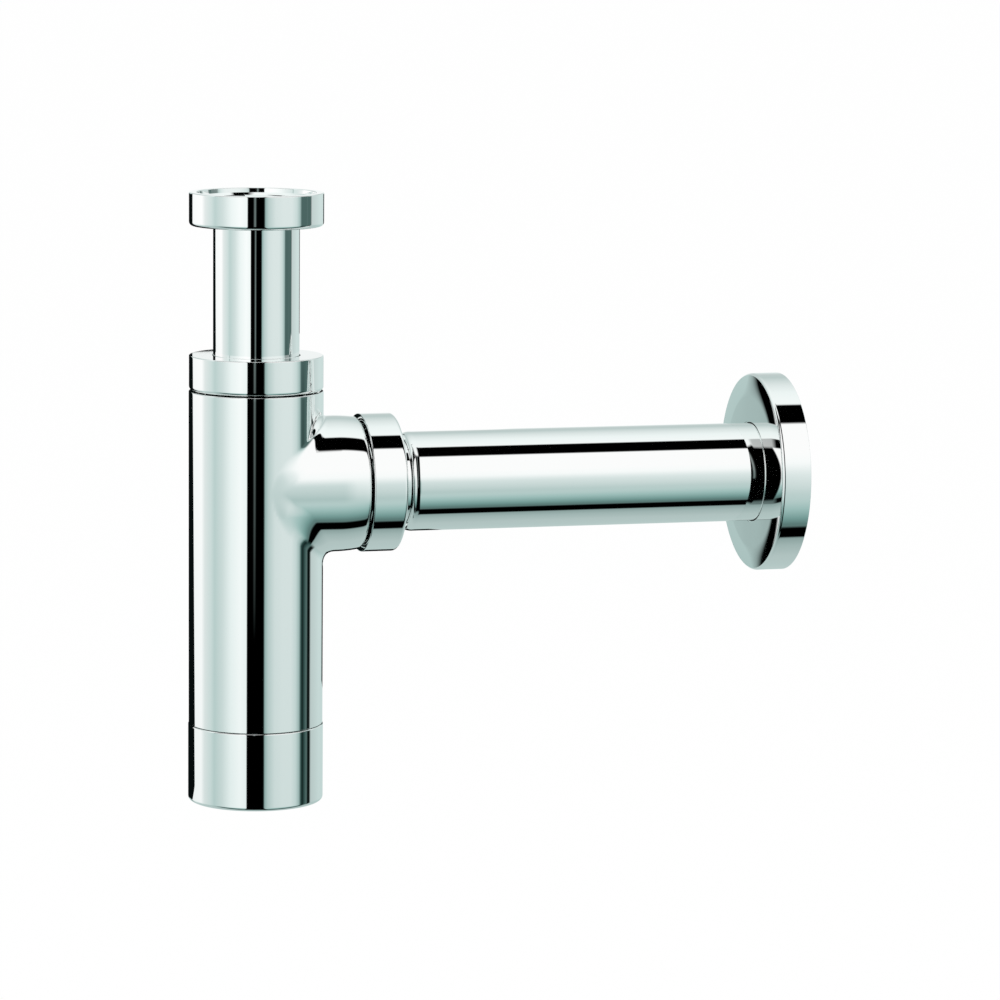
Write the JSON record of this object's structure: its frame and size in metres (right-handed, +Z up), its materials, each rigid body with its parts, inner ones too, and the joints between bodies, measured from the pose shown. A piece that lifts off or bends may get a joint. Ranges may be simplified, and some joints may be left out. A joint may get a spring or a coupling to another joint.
{
  "type": "bottle trap",
  "caption": "Chromed bottle trap for a basin waste: dip tube, barrel with a side branch, screwed cleaning cup, outlet pipe with a cover sleeve and a wall flange.",
  "frame": {"origin": "on the barrel's upright axis, on the upper face of the inlet gasket, where the end of the basin waste seals", "axes": "+Z up along the dip tube, +X along the outlet towards the wall, +Y completes the right-handed set"},
  "size_m": [0.2357, 0.0754, 0.2277],
  "materials": {
    "chrome": "mirror-bright plating on brass",
    "seal_rubber": "moulded, matt",
    "ring_plastic": "moulded, satin"
  },
  "bodies": {
    "tail": {"dip_tube": "chrome", "inlet_gasket": "seal_rubber"},
    "inlet_ring": {"inlet_slip_ring": "ring_plastic"},
    "inlet_nut": {"inlet_nut": "chrome"},
    "tube_seal": {"top_seal": "seal_rubber"},
    "trap_body": {"trap_body": "chrome"},
    "top_ring": {"top_slip_ring": "ring_plastic"},
    "top_nut": {"top_nut": "chrome"},
    "cup_ring": {"cup_o_ring": "seal_rubber"},
    "cup": {"cup": "chrome"},
    "outlet_ring": {"outlet_slip_ring": "ring_plastic"},
    "outlet_nut": {"outlet_nut": "chrome"},
    "pipe_seal": {"outlet_seal": "seal_rubber"},
    "outlet_pipe": {"outlet_pipe": "chrome"},
    "sleeve_rings": {"sleeve_ring_front": "ring_plastic", "sleeve_ring_rear": "ring_plastic"},
    "cover_sleeve": {"cover_sleeve": "chrome"},
    "grip_ring": {"flange_ring": "seal_rubber"},
    "wall_flange": {"wall_flange": "chrome"}
  },
  "joints": [
    {"name": "inlet_nut_drop", "type": "slide", "parent": "tail", "child": "inlet_ring", "axis": [0, 0, -1], "range_m": [0, 0.024]},
    {"name": "inlet_nut_turn", "type": "hinge", "parent": "inlet_ring", "child": "inlet_nut", "pos_m": [0, 0, 0], "axis": [0, 0, 1], "continuous": true},
    {"name": "height_adjust", "type": "slide", "parent": "tail", "child": "tube_seal", "axis": [0, 0, -1], "range_m": [-0.015, 0.02]},
    {"name": "body_swivel", "type": "hinge", "parent": "tube_seal", "child": "trap_body", "pos_m": [0, 0, 0], "axis": [0, 0, 1], "continuous": true},
    {"name": "top_nut_rise", "type": "slide", "parent": "trap_body", "child": "top_ring", "axis": [0, 0, 1], "range_m": [0, 0.0076]},
    {"name": "top_nut_turn", "type": "hinge", "parent": "top_ring", "child": "top_nut", "pos_m": [0, 0, 0], "axis": [0, 0, 1], "range_deg": [0, 1170]},
    {"name": "cup_drop", "type": "slide", "parent": "trap_body", "child": "cup_ring", "axis": [0, 0, -1], "range_m": [0, 0.0091]},
    {"name": "cup_turn", "type": "hinge", "parent": "cup_ring", "child": "cup", "pos_m": [0, 0, 0], "axis": [0, 0, -1], "range_deg": [0, 2160]},
    {"name": "outlet_nut_back", "type": "slide", "parent": "trap_body", "child": "outlet_ring", "axis": [1, 0, 0], "range_m": [0, 0.0035]},
    {"name": "outlet_nut_turn", "type": "hinge", "parent": "outlet_ring", "child": "outlet_nut", "pos_m": [0, 0, -0.103], "axis": [1, 0, 0], "range_deg": [0, 540]},
    {"name": "pipe_turn", "type": "hinge", "parent": "trap_body", "child": "pipe_seal", "pos_m": [0, 0, -0.103], "axis": [1, 0, 0], "continuous": true},
    {"name": "pipe_pull", "type": "slide", "parent": "pipe_seal", "child": "outlet_pipe", "axis": [1, 0, 0], "range_m": [0, 0.01]},
    {"name": "sleeve_slide", "type": "slide", "parent": "outlet_pipe", "child": "sleeve_rings", "axis": [1, 0, 0], "range_m": [0, 0.03]},
    {"name": "sleeve_turn", "type": "hinge", "parent": "sleeve_rings", "child": "cover_sleeve", "pos_m": [0, 0, -0.103], "axis": [1, 0, 0], "continuous": true},
    {"name": "flange_slide", "type": "slide", "parent": "cover_sleeve", "child": "grip_ring", "axis": [1, 0, 0], "range_m": [-0.12, 0.005]},
    {"name": "flange_turn", "type": "hinge", "parent": "grip_ring", "child": "wall_flange", "pos_m": [0, 0, -0.103], "axis": [1, 0, 0], "continuous": true}
  ],
  "couplings": [
    {"joint": "top_nut_rise", "follows": "top_nut_turn", "m_per_rad": 0.00036749},
    {"joint": "cup_drop", "follows": "cup_turn", "m_per_rad": 0.00023873},
    {"joint": "outlet_nut_back", "follows": "outlet_nut_turn", "m_per_rad": 0.00036749}
  ]
}
